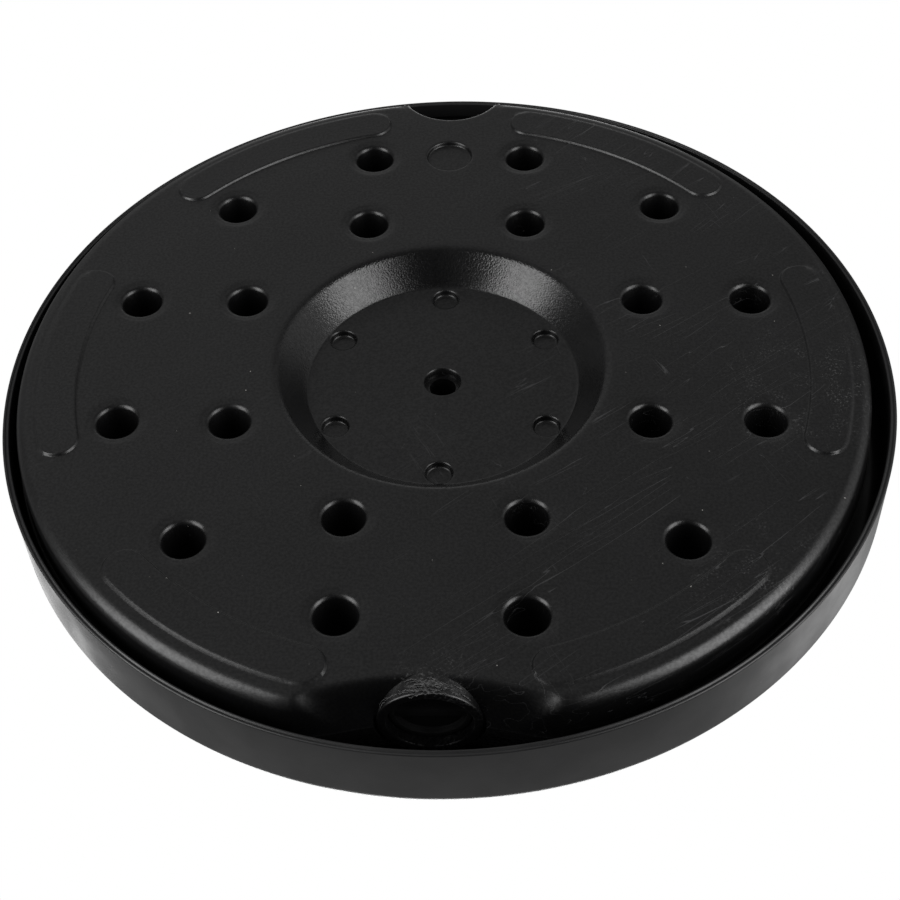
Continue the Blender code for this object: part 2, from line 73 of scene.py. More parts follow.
# Tank, round its own axis; it is moved to the tube's axis once built.
TANK_RADIUS = 217.7 * MM
UNDERSIDE = 1.2 * MM
RIM_DRAFT = 1.2 * MM
RIM_ROUND = 7.5 * MM
PARTING = NECK_Z
RIDGE = 0.7 * MM
FRONT_ARC = 160 * MM
FRONT_MID = 201.3 * MM
FRONT_SLOPE = 8.8 * MM
NOTCH_RADIUS = 29.2 * MM
NOTCH_CENTRE = 226.8 * MM
NOTCH_LIP = 2.6 * MM
RECESS_TOP = 84.8 * MM
RECESS_FLOOR_RADIUS = 69.9 * MM
RECESS_DEPTH = 16.8 * MM
COUNTERBORE = 9.3 * MM
COUNTERBORE_DEPTH = 5 * MM
DRAIN = 6.8 * MM
PIT_SHIFT = 1.1 * MM
PIT_RINGS = ((166.2 * MM, 12, 15.0), (112.7 * MM, 8, 22.5))
PIT_MOUTH = 10 * MM
PIT_LIP = 3 * MM
PIT_DISH = 0.45 * MM
PIT_DISH_EDGE = 16 * MM
PIT_END = 7.2 * MM
PIT_DEPTH = 30 * MM
PAD_INNER, PAD_OUTER = 185.7 * MM, 206.3 * MM
PAD_HALF, PAD_SHORT = math.radians(16.6), math.radians(13.6)
PAD_SHIFT = 1 * MM
PAD_HEIGHT = 1.2 * MM
PAD_STEP = 0.75 * MM
MARK_CIRCLE, MARK_RADIUS, MARK_DEPTH = 61.8 * MM, 8 * MM, 3.6 * MM
ROUND_MARK_AT, ROUND_MARK_RADIUS, ROUND_MARK_DEPTH = 163 * MM, 13.8 * MM, 2.6 * MM
NECK_OUTER, NECK_BORE, NECK_MOUTH = 23.9 * MM, 19.3 * MM, 202 * MM
NECK_LENGTH, NECK_LIP = 14 * MM, 1.1 * MM
CROWN_RADIUS = 76 * MM

# Distances inside the outline, in MM, of the lower skin's rings; a loose mesh fills the last one.
EDGE_RINGS = (0, 0.12, 0.3, 0.6, 1.0, 1.4, 1.9, 2.4, 3.0, 3.8, 4.6, 5.4, 6.0, 6.5, 7.0, 7.5, 8.0,
              8.6, 9.4, 10.3, 11.4, 12.6, 14)
INNER_EDGE = EDGE_RINGS[-1] * MM
# The upper shoulder: (distance inside the outline in MM, share of the tank's height).
SHOULDER = ((9.5, 0.815), (5, 0.80), (2.4, 0.75), (1.6, 0.66), (0.8, 0.55))

# Flange screws: radii of the holes, floor of the inserts' pockets, ends of the cuts at the deck.
POCKET_RADIUS, COVER_HOLE, FLANGE_HOLE = 5.8 * MM, 7.2 * MM, 3.5 * MM
POCKET_FLOOR = 41.9 * MM
DECK_CUT = (53 * MM, 70 * MM)

SOCKET_RADIUS, SOCKET_DEPTH = 2.3 * MM, 4 * MM
KNOB_BORE_DEPTH = 15.8 * MM
THREAD_BORE = 5.3 * MM


# ---- meshes

def put(name, data):
    item = bpy.data.objects.new(name, data)
    bpy.context.scene.collection.objects.link(item)
    return item


def mesh_object(name, points, faces, smooth=True):
    mesh = bpy.data.meshes.new(name)
    mesh.from_pydata([tuple(p) for p in points], [], [tuple(f) for f in faces])
    mesh.validate()
    if smooth:
        mesh.shade_smooth()
    return put(name, mesh)


def grid_faces(rows, columns, flip=False, closed=False):
    """Quads between rows of points that are loops; closed joins the last row to the first."""
    faces = []
    for row in range(rows if closed else rows - 1):
        here, there = row * columns, (row + 1) % rows * columns
        for column in range(columns):
            after = (column + 1) % columns
            a, b, c, d = here + column, here + after, there + after, there + column
            faces.append((a, d, c, b) if flip else (a, b, c, d))
    return faces


def end_caps(rows, columns):
    last = (rows - 1) * columns
    return [tuple(range(columns)), tuple(last + column for column in reversed(range(columns)))]


def revolve(name, profile, sides=96, centre=(0.0, 0.0), radius_at=None, closed=True):
    """A turned surface. The profile's (radius, height) points run down the outer side.

    radius_at(radius, height, angle) may change the radius round the turn. Where the profile isn't
    closed, its first and last rings are capped.
    """
    angles = np.linspace(0, 2 * math.pi, sides, endpoint=False)
    points = []
    for radius, height in profile:
        for angle in angles:
            reach = radius_at(radius, height, angle) if radius_at else radius
            points.append(
                (centre[0] + reach * math.cos(angle), centre[1] + reach * math.sin(angle), height)
            )
    faces = grid_faces(len(profile), sides, flip=True, closed=closed)
    if not closed:
        faces += end_caps(len(profile), sides)
    item = mesh_object(name, points, faces)
    tidy_mesh(item)
    return item


def sharpen(item, degrees):
    item.data.set_sharp_from_angle(angle=math.radians(degrees))


def tidy_mesh(item, sharp_deg=38):
    """Merge doubled points, turn all faces outwards and mark the sharp edges."""
    form = bmesh.new()
    form.from_mesh(item.data)
    bmesh.ops.remove_doubles(form, verts=form.verts, dist=1e-6)
    bmesh.ops.recalc_face_normals(form, faces=form.faces)
    form.to_mesh(item.data)
    form.free()
    sharpen(item, sharp_deg)


def arc(centre, radius, start_deg, end_deg, steps):
    points = []
    for i in range(steps + 1):
        angle = math.radians(start_deg + (end_deg - start_deg) * i / steps)
        points.append((centre[0] + radius * math.cos(angle), centre[1] + radius * math.sin(angle)))
    return points


def outward(item, height):
    """Turn a piece's +Z towards the front, and set it on the tube's axis at a height."""
    item.data.transform(Matrix.Translation((AXIS_X, 0, height)) @ Matrix.Rotation(math.pi / 2, 4, "X"))
    return item


def cylinder(name, radius, low, high, sides=64, centre=(0.0, 0.0)):
    profile = [(radius, high), (radius, low)]
    return revolve(name, profile, sides, centre, closed=False)


def block(centre, size):
    """A box with its sides along the axes, to cut with or to join on."""
    bpy.ops.mesh.primitive_cube_add(size=1, location=centre)
    item = bpy.context.object
    item.data.transform(Matrix.Diagonal((*size, 1)))
    return item


def cut(item, cutter, operation="DIFFERENCE"):
    """Apply a Boolean with a cutter, which is then removed."""
    boolean = item.modifiers.new("Cut", "BOOLEAN")
    boolean.operation = operation
    boolean.solver = "MANIFOLD"
    boolean.object = cutter
    graph = bpy.context.evaluated_depsgraph_get()
    mesh = bpy.data.meshes.new_from_object(item.evaluated_get(graph))
    item.modifiers.clear()
    item.data = mesh
    bpy.data.objects.remove(cutter)


def plan_centre(low, high):
    return (low.x + high.x) / 2, (low.y + high.y) / 2


def screw_holes(item, radius, low, high):
    """Cut holes for the six flange screws, or pockets for their inserts, into a piece."""
    for number in range(1, 7):
        centre = plan_centre(*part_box(f"flange_screw_{number}"))
        cut(item, cylinder("screw_hole", radius, low, high, 40, centre))


# ---- tank

def step(low, high, value):
    t = np.clip((value - low) / (high - low), 0, 1)
    return t * t * (3 - 2 * t)


def soft_min(a, b, blend):
    h = np.clip(0.5 + 0.5 * (b - a) / blend, 0, 1)
    return b * (1 - h) + a * h - blend * h * (1 - h)


def edge_distances(x, y):
    """Distance inside the plan outline: from the rim, from the hollowed front and from the notch."""
    rim = TANK_RADIUS - np.hypot(x, y)
    front = np.hypot(x, y + FRONT_MID + FRONT_ARC) - FRONT_ARC
    notch = np.hypot(x, y - NOTCH_CENTRE) - NOTCH_RADIUS
    return rim, front, notch


def inside(x, y):
    rim, front, notch = edge_distances(x, y)
    return soft_min(soft_min(rim, front, 9 * MM), notch, 2.5 * MM)


def round_edge(s, draft, radius):
    """Height of a rounded edge at a distance s inside it, from the parting line to the underside."""
    wall_top = UNDERSIDE + radius
    wall = PARTING - (PARTING - wall_top) * np.clip(s / draft, 0, 1)
    across = np.clip(draft + radius - s, 0, radius)
    curve = wall_top - np.sqrt(np.maximum(radius**2 - across**2, 0))
    return np.where(s < draft, wall, curve)


def pad_inside(x, y):
    """Distance inside the nearest of the six arc pads; the front two stop short of the neck."""
    y = y - PAD_SHIFT
    angle, turn = np.arctan2(y, x), math.pi / 3
    number = np.round(angle / turn)
    local = angle - turn * number
    short = ((number == -1) & (local < 0)) | ((number == -2) & (local > 0))
    half_angle = np.where(short, PAD_SHORT, PAD_HALF)
    radius = np.hypot(x, y)
    middle, half = (PAD_INNER + PAD_OUTER) / 2, (PAD_OUTER - PAD_INNER) / 2
    along = np.abs(local)
    cap = np.hypot(radius * np.cos(along) - middle * np.cos(half_angle),
                   radius * np.sin(along) - middle * np.sin(half_angle))
    return half - np.where(along < half_angle, np.abs(radius - middle), cap)


def pit_profile():
    """(distance from the pit's centre, depth) from the centre out, with a shallow dish round the lip."""
    start = PIT_MOUTH + PIT_LIP
    lip = arc((start, PIT_LIP + PIT_DISH), PIT_LIP, 188, 266, 8)
    foot = arc((PIT_END - 2.6 * MM, PIT_DEPTH - 2.6 * MM), 2.6 * MM, 90, 8, 5)
    dish = []
    for i in range(1, 7):
        t = i / 6
        dish.append((start + (PIT_DISH_EDGE - start) * t, PIT_DISH * (0.5 + 0.5 * math.cos(math.pi * t))))
    return [(0, PIT_DEPTH)] + foot + lip + dish


def mark_profile(radius, depth, lip, foot):
    """The same for a shallow round mark with a tight lip and foot."""
    points = [(0, depth)] + arc((radius - lip - foot, depth - foot), foot, 90, 12, 5)
    return points + arc((radius, lip), lip, 192, 270, 6)


PIT_PROFILE = np.array(pit_profile())
MARK_PROFILE = np.array(mark_profile(MARK_RADIUS, MARK_DEPTH, 1.3 * MM, 1.3 * MM))
ROUND_MARK_PROFILE = np.array(mark_profile(ROUND_MARK_RADIUS, ROUND_MARK_DEPTH, 1.3 * MM, 1.0 * MM))


def pit_centres():
    for radius, count, first in PIT_RINGS:
        for i in range(count):
            angle = math.radians(first + 360 * i / count)
            yield radius * math.cos(angle), radius * math.sin(angle) + PIT_SHIFT


def mark_centres():
    for i in range(6):
        angle = math.radians(30 + 60 * i)
        yield MARK_CIRCLE * math.cos(angle), MARK_CIRCLE * math.sin(angle)


def find_features():
    """Dimples and marks: centre, profile, radii of more rings, points a ring, radius kept clear."""
    more = [PIT_DISH_EDGE + 1.5 * MM, PIT_MOUTH - 1.2 * MM, PIT_MOUTH - 2.4 * MM]
    found = [(at, PIT_PROFILE, more, 40, PIT_DISH_EDGE + 3.5 * MM) for at in pit_centres()]
    more = [MARK_RADIUS + d * MM for d in (0.5, 1.5, 3, -3.5, -5.5)]
    found += [(at, MARK_PROFILE, more, 48, MARK_RADIUS + 4 * MM) for at in mark_centres()]
    more = [ROUND_MARK_RADIUS + d * MM for d in (0.6, 2, -4, -8)]
    found.append(((0, ROUND_MARK_AT), ROUND_MARK_PROFILE, more, 72, ROUND_MARK_RADIUS + 5 * MM))
    return found


FEATURES = find_features()


def waviness(x, y):
    """The slow unevenness of a blow-moulded wall, from 0 to 1."""
    total = np.zeros_like(x)
    for i, (reach, angle) in enumerate(((61, 20), (47, 75), (83, 130), (36, 165), (29, 48))):
        a = math.radians(angle)
        total += np.sin((x * math.cos(a) + y * math.sin(a)) / (reach * MM / (2 * math.pi)) + 1.7 * i)
    return 0.5 + total / 10


def underside(x, y):
    """Height of the tank's lower face over the plan."""
    rim, front, notch = edge_distances(x, y)
    s = np.maximum(inside(x, y), 0)
    radius = np.hypot(x, y)
    at_rim = round_edge(s, RIM_DRAFT, RIM_ROUND)
    slope = PARTING - s * (PARTING - UNDERSIDE) / FRONT_SLOPE
    at_front = -soft_min(-slope, -UNDERSIDE * np.ones_like(s), 5 * MM)
    at_notch = round_edge(s, 0.3 * MM, NOTCH_LIP)
    front_share = step(-3 * MM, 9 * MM, rim - front)
    notch_share = step(-1 * MM, 2.5 * MM, rim - notch)
    z = at_rim + (at_front - at_rim) * front_share
    z = z + (at_notch - z) * notch_share
    z = z + 0.22 * MM * waviness(x, y) * step(8 * MM, 26 * MM, s)

    z = z + np.interp(radius, RECESS_PROFILE[:, 0], RECESS_PROFILE[:, 1])
    for (cx, cy), profile, *_ in FEATURES:
        near = np.hypot(x - cx, y - cy)
        z = z + np.interp(near, profile[:, 0], profile[:, 1])
    return z - (PAD_HEIGHT + 0.2 * MM * waviness(x, y)) * step(-PAD_STEP, PAD_STEP, pad_inside(x, y))


def recess_profile():
    """(radius, depth) from the drain hole, over floor, tight foot, conical wall and lip, to the flat."""
    slope = math.degrees(math.atan2(RECESS_DEPTH, RECESS_TOP - RECESS_FLOOR_RADIUS))
    lip, foot = 7 * MM, 2.2 * MM
    points = [(DRAIN, RECESS_DEPTH + COUNTERBORE_DEPTH)]
    points += [(COUNTERBORE - 0.35 * MM, RECESS_DEPTH + COUNTERBORE_DEPTH)]
    points += [(COUNTERBORE - 0.1 * MM, RECESS_DEPTH + 0.7 * MM), (COUNTERBORE + 0.5 * MM, RECESS_DEPTH)]
    tangent = math.tan(math.radians(slope / 2))
    foot_centre = (RECESS_FLOOR_RADIUS - foot * tangent, RECESS_DEPTH - foot)
    points += arc(foot_centre, foot, 90, 90 - slope, 5)
    lip_centre = (RECESS_TOP + lip * tangent, lip)
    points += arc(lip_centre, lip, 270 - slope, 270, 12)
    return points


RECESS_PROFILE = np.array(recess_profile())


def circle(cx, cy, radius, count, phase=0.0):
    angles = 2 * math.pi * (np.arange(count) + phase) / count
    return np.column_stack((cx + radius * np.cos(angles), cy + radius * np.sin(angles)))


def pad_contour(number, offset, spacing):
    """Points round one pad at a distance outside its outline."""
    middle, half = (PAD_INNER + PAD_OUTER) / 2, (PAD_OUTER - PAD_INNER) / 2 + offset
    first = -PAD_SHORT if number == 5 else -PAD_HALF
    last = PAD_SHORT if number == 4 else PAD_HALF
    sweep = np.linspace(first, last, int((last - first) * middle / spacing))
    caps = int(math.pi * (PAD_OUTER - PAD_INNER) / 2 / spacing)
    points = []
    for radius in (middle + half, middle - half):
        points += [(radius * math.cos(a), radius * math.sin(a)) for a in sweep]
    for end, side in ((last, 1), (first, -1)):
        for turn in np.linspace(0, math.pi, caps + 2)[1:-1]:
            angle = end + side * turn
            points.append((middle * math.cos(end) + half * math.cos(angle),
                           middle * math.sin(end) + half * math.sin(angle)))
    c, s = math.cos(number * math.pi / 3), math.sin(number * math.pi / 3)
    return np.array([(x * c - y * s, x * s + y * c + PAD_SHIFT) for x, y in points])


def rim_radius(angle, target):
    """Distance from the axis at which the plan outline is target metres away, at each angle."""
    low = np.full_like(angle, 150 * MM)
    high = np.full_like(angle, 225 * MM)
    for _ in range(34):
        middle = (low + high) / 2
        deep = inside(middle * np.cos(angle), middle * np.sin(angle)) > target
        low = np.where(deep, middle, low)
        high = np.where(deep, high, middle)
    return (low + high) / 2


def underside_points(edge):
    """Plan points of the part inside the rim: rings round each feature, and a loose fill."""
    sets = []
    for (cx, cy), profile, more, count, _ in FEATURES:
        radii = sorted((set(np.round(profile[:, 0], 6)) - {0.0}) | set(more))
        for i, radius in enumerate(radii):
            sparse = radius < 0.55 * radii[-1]
            sets.append(circle(cx, cy, radius, count // 2 if sparse else count, 0.5 * (i % 2)))
        sets.append(np.array([[cx, cy]]))
    recess = [r for r in RECESS_PROFILE[:, 0] if r > RECESS_FLOOR_RADIUS - 5 * MM]
    recess += [RECESS_FLOOR_RADIUS + d * MM for d in (3, 5.5, 8)] + [RECESS_TOP + 6.5 * MM]
    for i, radius in enumerate(sorted(recess)):
        sets.append(circle(0, 0, radius, 240, 0.5 * (i % 2)))
    for radius in [r for r in RECESS_PROFILE[:, 0] if r < 20 * MM] + [COUNTERBORE + 2.5 * MM]:
        sets.append(circle(0, 0, radius, 48))
    for number in range(6):
        for offset in (-2.2, -1.2, -0.75, -0.5, -0.25, 0, 0.25, 0.5, 0.75, 1.2, 2.2):
            contour = pad_contour(number, offset * MM, 1.7 * MM)
            keep = inside(contour[:, 0], contour[:, 1]) > edge + 0.9 * MM
            sets.append(contour[keep])

    pitch = 5 * MM
    rows = []
    for j in range(-45, 46):
        for i in range(-45, 46):
            rows.append(((i + 0.5 * (j % 2)) * pitch, j * pitch * 0.866))
    fill = np.array(rows)
    x, y = fill[:, 0], fill[:, 1]
    radius = np.hypot(x, y)
    keep = inside(x, y) > edge + 3 * MM
    keep &= (radius > RECESS_TOP + 10 * MM) | (radius < RECESS_FLOOR_RADIUS - 7 * MM)
    keep &= radius > COUNTERBORE + 6 * MM
    keep &= np.abs(pad_inside(x, y)) > 3.5 * MM
    for (cx, cy), *_, clear in FEATURES:
        keep &= np.hypot(x - cx, y - cy) > clear
    sets.append(fill[keep])
    return np.vstack(sets)


def ring(angles, reach, height):
    """Points round the tank's axis at one height, or at that of a function of x and y."""
    x, y = reach * np.cos(angles), reach * np.sin(angles)
    return np.column_stack((x, y, height(x, y) if callable(height) else np.full(len(x), height)))


def make_tank_mesh():
    """The tank's skin: lower face and its wall, the upper wall and top, and the drain hole."""
    turns = 720
    angles = np.linspace(0, 2 * math.pi, turns, endpoint=False)
    rings = [ring(angles, rim_radius(angles, depth * MM), underside) for depth in EDGE_RINGS]
    beside, ridge = rim_radius(angles, 0 * MM), rim_radius(angles, -RIDGE)
    parting = ((beside, 0.5 * MM), (ridge, 0.15 * MM), (ridge, -0.15 * MM))
    upper = [ring(angles, reach, PARTING + rise) for reach, rise in parting]
    above = []
    for inset, share in SHOULDER:
        level = UNDERSIDE + (TANK_HIGH.z - UNDERSIDE) * share
        above.append(ring(angles, rim_radius(angles, inset * MM), level))
    crown = ring(angles, CROWN_RADIUS, TANK_HIGH.z)
    stack = [crown] + above + upper + rings
    points = np.vstack(stack)
    faces = grid_faces(len(stack), turns, flip=True)
    faces.append(tuple(range(turns)))

    edge_start = len(points) - turns
    plan = np.vstack((points[edge_start:, :2], underside_points(INNER_EDGE)))
    found = delaunay_2d_cdt([Vector(p) for p in plan], [], [list(range(turns))], 1, 1e-8)
    flat_points = np.array([tuple(p) for p in found[0]])
    start = len(points)
    heights = underside(flat_points[:, 0], flat_points[:, 1])
    points = np.vstack((points, np.column_stack((flat_points, heights))))
    faces += [tuple(start + v for v in reversed(t)) for t in found[2]]
    item = mesh_object("tank_skin", points, faces)
    tidy_mesh(item, 50)
    item.data.transform(Matrix.Translation((AXIS_X, 0, 0)))
    return item


def make_tank():
    tank = make_tank_mesh()
    cut(tank, cylinder("drain_cut", DRAIN, -10 * MM, 90 * MM, 64, (AXIS_X, 0)))
    pocket = cylinder("pocket_cut", NECK_OUTER + 1.2 * MM, NECK_MOUTH - 1 * MM, 235 * MM, 96)
    cut(tank, outward(pocket, NECK_Z))
    cut(tank, outward(cylinder("bore_cut", NECK_BORE, 176 * MM, 235 * MM, 96), NECK_Z))
    screw_holes(tank, POCKET_RADIUS, POCKET_FLOOR, DECK_CUT[1])
    sharpen(tank, 48)
    return tank


def make_neck():
    """The mouth of the fill neck, a little proud of the hollowed front that it stands in."""
    lip, root = NECK_LIP, NECK_MOUTH - NECK_LENGTH
    profile = arc((NECK_OUTER - lip, NECK_MOUTH - lip), lip, 90, 0, 5)
    profile += [(NECK_OUTER, root), (NECK_BORE - 0.05 * MM, root)]
    profile += arc((NECK_BORE + lip, NECK_MOUTH - lip), lip, 180, 90, 5)
    return outward(revolve("fill_neck", profile, 128), NECK_Z)


def make_scraps(rng):
    """Torn moulding flash round the top of the neck: thin ragged ribbons that stand off the wall."""
    points, faces = [], []
    for _ in range(46):
        middle = -math.pi / 2 + 0.05 + min(max(rng.normal(0, 0.5), -0.95), 0.95)
        length = rng.uniform(0.08, 0.5)
        along = rng.uniform(194 * MM, 201.8 * MM)
        drift = rng.uniform(-2, 2) * MM
        width = rng.uniform(0.12, 0.5) * MM
        lift = rng.uniform(0.05, 0.5) * MM
        links = 14
        start = len(points)
        for i in range(links + 1):
            t = i / links
            angle = middle + (t - 0.5) * length
            reach = NECK_OUTER + lift * math.sin(math.pi * t) + rng.normal(0, 0.12) * MM
            place = along + drift * t + rng.normal(0, 0.22) * MM
            broad = width * (math.sin(math.pi * t) ** 0.5) * rng.uniform(0.5, 1.1) + 0.03 * MM
            for side in (-1, 1):
                x = AXIS_X + reach * math.cos(angle)
                z = NECK_Z + (reach + side * 0.25 * broad) * math.sin(angle)
                points.append((x, -(place + side * broad), max(z, 0.35 * MM)))
        for i in range(links):
            a = start + 2 * i
            faces.append((a, a + 1, a + 3, a + 2))
    item = mesh_object("neck_flash_scraps", points, faces)
    solid = item.modifiers.new("Thickness", "SOLIDIFY")
    solid.thickness = 0.18 * MM
    solid.offset = 0
    return item


# ---- cover

def make_cover():
    """Pressed steel cover: deck, rounded corner, skirt and the hem folded inside its edge."""
    radius, bottom, top = COVER_HIGH.x, COVER_LOW.z, COVER_HIGH.z
    sheet, corner, corner_top = 1.5 * MM, 8 * MM, 53 * MM
    hole, deck = 13 * MM, 80 * MM
    hem, hem_rise = 3.4 * MM, 9 * MM
    bead = [(hole, top), (deck - 3 * MM, top), (deck, top - 0.1 * MM), (deck + 3 * MM, top - 0.35 * MM)]
    profile = bead + arc((radius - corner, corner_top - corner), corner, 87, 0, 14)
    profile += [(radius, 30 * MM), (radius, bottom + 0.9 * MM)]
    profile += arc((radius - 0.9 * MM, bottom + 0.9 * MM), 0.9 * MM, -15, -90, 5)
    profile += [(radius - 1.35 * MM, bottom + 0.25 * MM), (radius - 1.6 * MM, bottom + 0.6 * MM)]
    profile += [(radius - 1.8 * MM, bottom + 0.6 * MM)]
    profile += arc((radius - hem + 0.8 * MM, bottom + 0.8 * MM), 0.8 * MM, -80, -180, 6)
    profile += [(radius - hem, bottom + hem_rise), (radius - hem + 0.6 * MM, bottom + hem_rise + 0.5 * MM)]
    profile += [(radius - sheet, bottom + hem_rise + 0.6 * MM)]
    profile += arc((radius - corner, corner_top - corner), corner - sheet, 0, 87, 10)
    profile += [(deck, top - sheet), (hole, top - sheet)]
    cover = revolve("cover_skin", profile, 360)
    screw_holes(cover, COVER_HOLE, *DECK_CUT)
    tidy_mesh(cover)
    return cover


# ---- foot, tube and clamp

def hexagon(across_flats):
    """A radius function: a hexagon with its corners trimmed by the chamfer's own circle."""
    def reach(radius, height, angle):
        within = (angle + math.pi / 6) % (math.pi / 3) - math.pi / 6
        return min(radius, across_flats / 2 / math.cos(within))
    return reach


def make_flange():
    radius = (FLANGE_HIGH.x - FLANGE_LOW.x) / 2
    low, high, edge = FLANGE_LOW.z, FLANGE_HIGH.z, 1.2 * MM
    profile = [(10 * MM, high), (radius - edge, high)]
    profile += arc((radius - edge, high - edge), edge, 80, 0, 5)
    profile += [(radius, low + 0.3 * MM), (radius - 0.3 * MM, low), (10 * MM, low)]
    flange = revolve("flange_plate", profile, 192, (AXIS_X, 0))
    screw_holes(flange, FLANGE_HOLE, low - 5 * MM, high + 5 * MM)
    tidy_mesh(flange)
    return flange


def make_weld(rng):
    """The weld bead round the tube's foot, laid in overlapping ripples."""
    radius, base = (TUBE_HIGH.x - TUBE_LOW.x) / 2 - 4 * MM, FLANGE_HIGH.z
    ripples, sides, around = 64, 512, 14
    points = []
    wobble = rng.normal(0, 0.12, 24)
    for i in range(sides):
        angle = 2 * math.pi * i / sides
        drift = sum(w * math.sin((k + 2) * angle + k) for k, w in enumerate(wobble[:8]))
        phase = (angle * ripples / (2 * math.pi)) % 1
        swell = 1 + 0.11 * (1 - phase) ** 2 + 0.04 * drift
        for j in range(around):
            turn = 2 * math.pi * j / around
            out = (3.3 * MM * swell) * math.cos(turn)
            up = (3.3 * MM * swell) * math.sin(turn)
            skew = 0.3 * MM * math.cos(turn)
            reach = radius + 0.6 * MM + out + skew
            points.append(
                (AXIS_X + reach * math.cos(angle), reach * math.sin(angle), base + 0.4 * MM + up)
            )
    item = mesh_object("foot_weld", points, grid_faces(sides, around, closed=True))
    cutter = cylinder("weld_cut", 60 * MM, base - 20 * MM, base + 0.02 * MM, 64, (AXIS_X, 0))
    tidy_mesh(item, 60)
    cut(item, cutter)
    inner = cylinder("weld_core", radius - 0.4 * MM, base - 20 * MM, base + 20 * MM, 128, (AXIS_X, 0))
    cut(item, inner)
    return item


def make_tube():
    radius, wall = 25 * MM, 1.8 * MM
    low, high, edge = TUBE_LOW.z, TUBE_HIGH.z, 0.5 * MM
    profile = arc((radius - edge, high - edge), edge, 90, 0, 4)
    profile += [(radius, low), (radius - wall, low), (radius - wall, high - 0.2 * MM)]
    tube = revolve("tube_skin", profile, 160, (AXIS_X, 0))
    hole = cylinder("stud_hole", 5.5 * MM, 5 * MM, 34 * MM, 48)
    cut(tube, outward(hole, CLAMP_Z))
    sharpen(tube, 38)
    return tube


def make_nut():
    """The weld nut on the tube, with a chamfered mouth and a small weld round its root."""
    reach, end = (NUT_HIGH.x - NUT_LOW.x) / 2, -NUT_LOW.y
    bore, edge = THREAD_BORE, 1 * MM
    profile = [(bore + 0.8 * MM, end), (reach - edge, end)]
    profile += arc((reach - edge, end - edge), edge, 90, 0, 4)
    profile += [(reach, 27 * MM), (reach + 1.6 * MM, 25.6 * MM), (reach + 2.2 * MM, 24 * MM)]
    profile += [(reach + 2.2 * MM, 18 * MM), (bore, 18 * MM), (bore, end - 0.8 * MM)]
    nut = outward(revolve("nut_skin", profile, 96), CLAMP_Z)
    cut(nut, cylinder("nut_saddle", 25.05 * MM, CLAMP_Z - 40 * MM, CLAMP_Z + 40 * MM, 160, (AXIS_X, 0)))
    sharpen(nut, 38)
    return nut


def make_screw(number, centre, low, high):
    """Hexagon head with a chamfered crown, and the shank below it."""
    shank = 3 * MM
    head = high - 4 * MM
    top, mid = high, high - 0.9 * MM
    flats = 10 * MM
    profile = [(0.5 * MM, top - 0.1 * MM), (4.4 * MM, top), (4.9 * MM, top - 0.15 * MM)]
    profile += [(5.8 * MM, mid), (5.8 * MM, head + 0.15 * MM), (5.6 * MM, head), (shank, head)]
    profile += [(shank, low), (0.5 * MM, low)]
    trim = hexagon(flats)
    turn = 0.4 * number

    def reach(radius, height, angle):
        return trim(radius, height, angle + turn) if height >= head else radius

    return revolve(f"screw_{number}", profile, 72, centre, reach, closed=False)


def make_washer(number, centre, low, high):
    inner, outer, edge = 3.5 * MM, 6.4 * MM, 0.25 * MM
    profile = [(inner, high), (outer - edge, high), (outer, high - edge), (outer, low + edge)]
    profile += [(outer - edge, low), (inner, low)]
    return revolve(f"washer_{number}", profile, 72, centre)


def make_sleeve():
    """Lift-out pole sleeve: rounded rim, slot for the clamp and a lead-in at the foot."""
    bore, reach, rim = 19.6 * MM, 22.8 * MM, (SLEEVE_HIGH.x - SLEEVE_LOW.x) / 2
    top, low, seat = SLEEVE_HIGH.z, SLEEVE_LOW.z, TUBE_HIGH.z + 0.3 * MM
    soft = 1.7 * MM
    profile = [(bore, top - 3 * MM)] + arc((bore + soft, top - soft), soft, 180, 90, 5)
    profile += arc((rim - soft, top - soft), soft, 90, 0, 6)
    profile += [(rim, seat + 0.4 * MM), (rim - 0.4 * MM, seat), (reach, seat), (reach, low + 1 * MM)]
    profile += [(reach - 0.8 * MM, low), (bore + 0.4 * MM, low), (bore, low + 0.4 * MM)]
    sleeve = revolve("sleeve_skin", profile, 160, (AXIS_X, 0))
    half = 5.8 * MM
    round_end = cylinder("slot_end", half, 4 * MM, 40 * MM, 48)
    cut(sleeve, outward(round_end, CLAMP_Z))
    middle = (AXIS_X, -22 * MM, (low - 5 * MM + CLAMP_Z) / 2)
    cut(sleeve, block(middle, (2 * half, 36 * MM, CLAMP_Z - low + 5 * MM)))
    sharpen(sleeve, 38)
    return sleeve


def make_stud():
    """M10 stud with a helical thread of 1.5 mm pitch, and a socket in its end for the tip's spigot."""
    start, end = -STUD_HIGH.y, -STUD_LOW.y
    radius, pitch, depth = 5 * MM, 1.5 * MM, 0.85 * MM
    rows, sides = 300, 48
    points = []
    for i in range(rows + 1):
        height = end + (start - end) * i / rows
        fade = min(1, (height - start) / (2 * MM))
        for j in range(sides):
            angle = 2 * math.pi * j / sides
            phase = (height / pitch - angle / (2 * math.pi)) % 1
            cutting = min(1, 2.4 * abs(phase - 0.5))
            reach = radius - depth * (1 - cutting) * max(fade, 0) - 0.6 * MM * (1 - max(fade, 0))
            points.append((reach * math.cos(angle), reach * math.sin(angle), height))
    faces = grid_faces(rows + 1, sides, flip=True) + end_caps(rows + 1, sides)
    item = mesh_object("stud_thread", points, faces)
    cut(item, cylinder("socket_cut", SOCKET_RADIUS, start - 1 * MM, start + SOCKET_DEPTH, 48))
    tidy_mesh(item, 60)
    return outward(item, CLAMP_Z)


